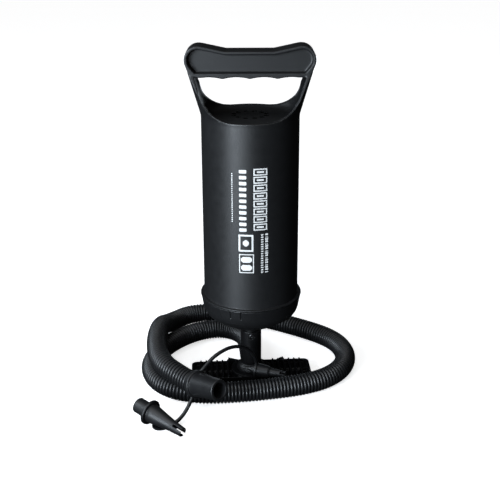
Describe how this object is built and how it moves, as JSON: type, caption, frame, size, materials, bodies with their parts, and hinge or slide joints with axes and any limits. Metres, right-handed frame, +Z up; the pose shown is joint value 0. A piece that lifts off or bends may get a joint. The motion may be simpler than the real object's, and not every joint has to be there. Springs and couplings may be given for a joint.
{
  "type": "double action hand pump",
  "caption": "Upright hand pump for inflatables: barrel with loop handle slides on a fixed piston over a foot bar, with a corrugated hose and tethered nozzles.",
  "frame": {"origin": "on the floor under the axis of the barrel and rod, in the middle of the foot bar", "axes": "+Z up along the rod and the barrel's stroke, +X along the handle to the right, -Y towards the front of the pump; the foot bar is turned 3.5 degrees from X"},
  "size_m": [0.1987, 0.2285, 0.3],
  "materials": {
    "body_plastic": "satin charcoal black",
    "cap_plastic": "satin charcoal black",
    "foot_plastic": "matte black",
    "pedestal_plastic": "matte black",
    "rod_plastic": "satin black",
    "inner_plastic": "moulded",
    "pad_rubber": "matte",
    "seal_rubber": "matte",
    "screw_steel": "zinc plated",
    "hose_plastic": "satin corrugated",
    "nozzle_plastic": "satin",
    "tether_plastic": "satin"
  },
  "bodies": {
    "base": {"foot_plate": "foot_plastic", "base_cover": "foot_plastic", "base_screws": "screw_steel", "foot_pads": "pad_rubber", "pedestal": "pedestal_plastic", "piston_rod": "rod_plastic", "rod_o_ring": "seal_rubber", "stem_screw": "screw_steel", "piston_cup": "inner_plastic", "valve_cage": "inner_plastic", "rod_insert": "inner_plastic", "piston_lid": "inner_plastic", "piston_washer": "screw_steel", "piston_screw": "screw_steel", "lower_piston_seal": "seal_rubber", "upper_piston_seal": "seal_rubber", "hose_cuff": "nozzle_plastic", "hose": "hose_plastic", "hose_connector": "nozzle_plastic", "small_nozzle": "nozzle_plastic", "large_nozzle": "nozzle_plastic", "small_tether": "tether_plastic", "large_tether": "tether_plastic", "tether_ring": "tether_plastic"},
    "seal_carrier": {"rod_seal": "seal_rubber"},
    "barrel": {"barrel": "body_plastic", "top_flap_retainer": "inner_plastic", "bottom_cap": "cap_plastic", "cap_seal": "seal_rubber", "seal_retainer": "inner_plastic", "rod_guide": "inner_plastic", "bumper": "seal_rubber", "bottom_flap_retainer": "inner_plastic"},
    "top_inlet_flap": {"top_inlet_flap": "seal_rubber"},
    "bottom_inlet_flap": {"bottom_inlet_flap": "seal_rubber"},
    "lower_outlet_flap": {"lower_outlet_flap": "seal_rubber"},
    "upper_outlet_flap": {"upper_outlet_flap": "seal_rubber"}
  },
  "joints": [
    {"name": "barrel_slide", "type": "slide", "parent": "base", "child": "seal_carrier", "axis": [0, 0, 1], "range_m": [0, 0.095]},
    {"name": "barrel_spin", "type": "hinge", "parent": "seal_carrier", "child": "barrel", "pos_m": [0, 0, 0.06], "axis": [0, 0, 1], "continuous": true},
    {"name": "top_inlet_lift", "type": "slide", "parent": "barrel", "child": "top_inlet_flap", "axis": [0, 0, 1], "range_m": [0, 0.00135]},
    {"name": "bottom_inlet_lift", "type": "slide", "parent": "barrel", "child": "bottom_inlet_flap", "axis": [0, 0, 1], "range_m": [0, 0.0014]},
    {"name": "lower_outlet_lift", "type": "slide", "parent": "base", "child": "lower_outlet_flap", "axis": [0, 0, 1], "range_m": [0, 0.0015]},
    {"name": "upper_outlet_lift", "type": "slide", "parent": "base", "child": "upper_outlet_flap", "axis": [0, 0, 1], "range_m": [0, 0.0019]}
  ]
}
